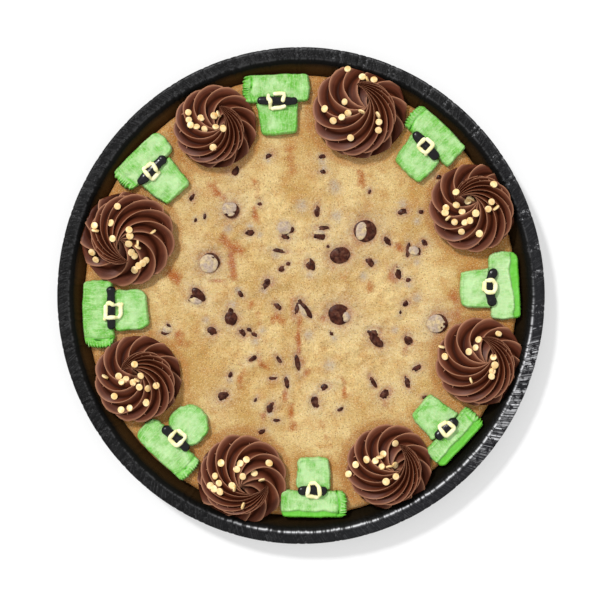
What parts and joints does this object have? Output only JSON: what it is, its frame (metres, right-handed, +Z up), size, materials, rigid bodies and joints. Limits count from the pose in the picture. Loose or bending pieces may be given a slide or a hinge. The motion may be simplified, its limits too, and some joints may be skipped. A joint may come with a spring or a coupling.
{
  "type": "cookie cake",
  "caption": "Large round chocolate chip cookie in a black rimmed baking tray, ringed with piped chocolate rosettes and green icing hats with black bands and yellow buckles.",
  "frame": {"origin": "centre of the tray's flat underside", "axes": "+Z up through the cookie, +Y towards the picture's top edge, +X towards its right edge"},
  "size_m": [0.299, 0.3048, 0.0352],
  "materials": {
    "black_board": "black coated pressed paperboard, slightly leathery, half matt",
    "baked_cookie": "golden baked dough with chocolate chips, matt",
    "chocolate_icing": "piped chocolate buttercream with flat gold sprinkles, silky",
    "green_icing": "bright green piped icing, silky",
    "black_icing": "black piped icing, glossy",
    "yellow_icing": "pale yellow piped icing, silky"
  },
  "bodies": {
    "root": {"tray": "black_board", "cookie": "baked_cookie", "rosette_1": "chocolate_icing", "rosette_2": "chocolate_icing", "rosette_3": "chocolate_icing", "rosette_4": "chocolate_icing", "rosette_5": "chocolate_icing", "rosette_6": "chocolate_icing", "rosette_7": "chocolate_icing", "rosette_8": "chocolate_icing", "brim_1": "green_icing", "brim_2": "green_icing", "brim_3": "green_icing", "brim_4": "green_icing", "brim_5": "green_icing", "brim_6": "green_icing", "brim_7": "green_icing", "brim_8": "green_icing", "crown_1": "green_icing", "crown_2": "green_icing", "crown_3": "green_icing", "crown_4": "green_icing", "crown_5": "green_icing", "crown_6": "green_icing", "crown_7": "green_icing", "crown_8": "green_icing", "band_1": "black_icing", "band_2": "black_icing", "band_3": "black_icing", "band_4": "black_icing", "band_5": "black_icing", "band_6": "black_icing", "band_7": "black_icing", "band_8": "black_icing", "buckle_1": "yellow_icing", "buckle_2": "yellow_icing", "buckle_3": "yellow_icing", "buckle_4": "yellow_icing", "buckle_5": "yellow_icing", "buckle_6": "yellow_icing", "buckle_7": "yellow_icing", "buckle_8": "yellow_icing"}
  },
  "joints": []
}
